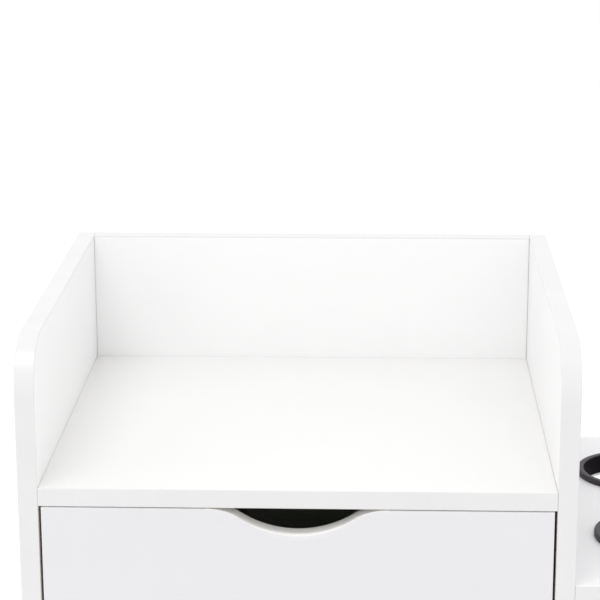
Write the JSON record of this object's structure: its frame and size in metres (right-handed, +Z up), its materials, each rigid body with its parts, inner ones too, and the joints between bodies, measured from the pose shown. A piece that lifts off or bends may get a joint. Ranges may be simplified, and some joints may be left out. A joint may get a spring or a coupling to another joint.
{
  "type": "rolling salon trolley",
  "caption": "Rolling salon cabinet in white board: sunk open tray, stacked drawers with finger scoops, and a side board with hair-dryer rings, on braked swivel castors.",
  "frame": {"origin": "on the floor, at the middle of the overall footprint, side board included", "axes": "+X to the side with the side board, +Y from the drawer fronts to the back, +Z up"},
  "size_m": [0.56, 0.365, 0.85],
  "materials": {
    "white_board": "satin melamine",
    "drawer_board": "off-white foil",
    "white_hardboard": "matt painted hardboard",
    "black_plastic": "satin moulded",
    "white_steel": "satin powder coat",
    "zinc_steel": "bright zinc plate",
    "wheel_rubber": "matt"
  },
  "bodies": {
    "carcass": {"side_panel_left": "white_board", "side_panel_right": "white_board", "top_shelf": "white_board", "bottom_board": "white_board", "back_rail": "white_board", "back_panel": "white_hardboard", "holder_board": "white_board", "dryer_ring_front": "black_plastic", "dryer_ring_rear": "black_plastic", "holder_bracket_front": "white_steel", "holder_bracket_rear": "white_steel", "cabinet_rail_bottom_left": "zinc_steel", "cabinet_rail_bottom_right": "zinc_steel", "cabinet_rail_middle_left": "zinc_steel", "cabinet_rail_middle_right": "zinc_steel", "cabinet_rail_top_left": "zinc_steel", "cabinet_rail_top_right": "zinc_steel", "castor_front_left_plate": "zinc_steel", "castor_front_right_plate": "zinc_steel", "castor_rear_left_plate": "zinc_steel", "castor_rear_right_plate": "zinc_steel"},
    "drawer_bottom": {"drawer_bottom_front": "white_board", "drawer_bottom_side_left": "drawer_board", "drawer_bottom_side_right": "drawer_board", "drawer_bottom_back": "drawer_board", "drawer_bottom_bottom": "drawer_board", "drawer_bottom_rail_left": "zinc_steel", "drawer_bottom_rail_right": "zinc_steel"},
    "drawer_middle": {"drawer_middle_front": "white_board", "drawer_middle_side_left": "drawer_board", "drawer_middle_side_right": "drawer_board", "drawer_middle_back": "drawer_board", "drawer_middle_bottom": "drawer_board", "drawer_middle_rail_left": "zinc_steel", "drawer_middle_rail_right": "zinc_steel"},
    "drawer_top": {"drawer_top_front": "white_board", "drawer_top_side_left": "drawer_board", "drawer_top_side_right": "drawer_board", "drawer_top_back": "drawer_board", "drawer_top_bottom": "drawer_board", "drawer_top_rail_left": "zinc_steel", "drawer_top_rail_right": "zinc_steel"},
    "castor_front_left_swivel": {"castor_front_left_fork": "zinc_steel", "castor_front_left_axle": "zinc_steel"},
    "castor_front_left_wheel": {"castor_front_left_wheel": "wheel_rubber"},
    "castor_front_left_brake": {"castor_front_left_brake": "black_plastic"},
    "castor_front_right_swivel": {"castor_front_right_fork": "zinc_steel", "castor_front_right_axle": "zinc_steel"},
    "castor_front_right_wheel": {"castor_front_right_wheel": "wheel_rubber"},
    "castor_front_right_brake": {"castor_front_right_brake": "black_plastic"},
    "castor_rear_left_swivel": {"castor_rear_left_fork": "zinc_steel", "castor_rear_left_axle": "zinc_steel"},
    "castor_rear_left_wheel": {"castor_rear_left_wheel": "wheel_rubber"},
    "castor_rear_right_swivel": {"castor_rear_right_fork": "zinc_steel", "castor_rear_right_axle": "zinc_steel"},
    "castor_rear_right_wheel": {"castor_rear_right_wheel": "wheel_rubber"}
  },
  "joints": [
    {"name": "drawer_bottom_slide", "type": "slide", "parent": "carcass", "child": "drawer_bottom", "axis": [0, -1, 0], "range_m": [0, 0.225]},
    {"name": "drawer_middle_slide", "type": "slide", "parent": "carcass", "child": "drawer_middle", "axis": [0, -1, 0], "range_m": [0, 0.225]},
    {"name": "drawer_top_slide", "type": "slide", "parent": "carcass", "child": "drawer_top", "axis": [0, -1, 0], "range_m": [0, 0.225]},
    {"name": "castor_front_left_turn", "type": "hinge", "parent": "carcass", "child": "castor_front_left_swivel", "pos_m": [-0.23, -0.1265, 0.06], "axis": [0, 0, 1], "continuous": true},
    {"name": "castor_front_left_roll", "type": "hinge", "parent": "castor_front_left_swivel", "child": "castor_front_left_wheel", "pos_m": [-0.23, -0.1465, 0.025], "axis": [1, 0, 0], "continuous": true},
    {"name": "castor_front_left_brake_press", "type": "hinge", "parent": "castor_front_left_swivel", "child": "castor_front_left_brake", "pos_m": [-0.23, -0.1645, 0.05], "axis": [1, 0, 0], "range_deg": [0, 12]},
    {"name": "castor_front_right_turn", "type": "hinge", "parent": "carcass", "child": "castor_front_right_swivel", "pos_m": [0.09, -0.1265, 0.06], "axis": [0, 0, 1], "continuous": true},
    {"name": "castor_front_right_roll", "type": "hinge", "parent": "castor_front_right_swivel", "child": "castor_front_right_wheel", "pos_m": [0.09, -0.1465, 0.025], "axis": [1, 0, 0], "continuous": true},
    {"name": "castor_front_right_brake_press", "type": "hinge", "parent": "castor_front_right_swivel", "child": "castor_front_right_brake", "pos_m": [0.09, -0.1645, 0.05], "axis": [1, 0, 0], "range_deg": [0, 12]},
    {"name": "castor_rear_left_turn", "type": "hinge", "parent": "carcass", "child": "castor_rear_left_swivel", "pos_m": [-0.23, 0.1325, 0.06], "axis": [0, 0, 1], "continuous": true},
    {"name": "castor_rear_left_roll", "type": "hinge", "parent": "castor_rear_left_swivel", "child": "castor_rear_left_wheel", "pos_m": [-0.23, 0.1125, 0.025], "axis": [1, 0, 0], "continuous": true},
    {"name": "castor_rear_right_turn", "type": "hinge", "parent": "carcass", "child": "castor_rear_right_swivel", "pos_m": [0.09, 0.1325, 0.06], "axis": [0, 0, 1], "continuous": true},
    {"name": "castor_rear_right_roll", "type": "hinge", "parent": "castor_rear_right_swivel", "child": "castor_rear_right_wheel", "pos_m": [0.09, 0.1125, 0.025], "axis": [1, 0, 0], "continuous": true}
  ]
}
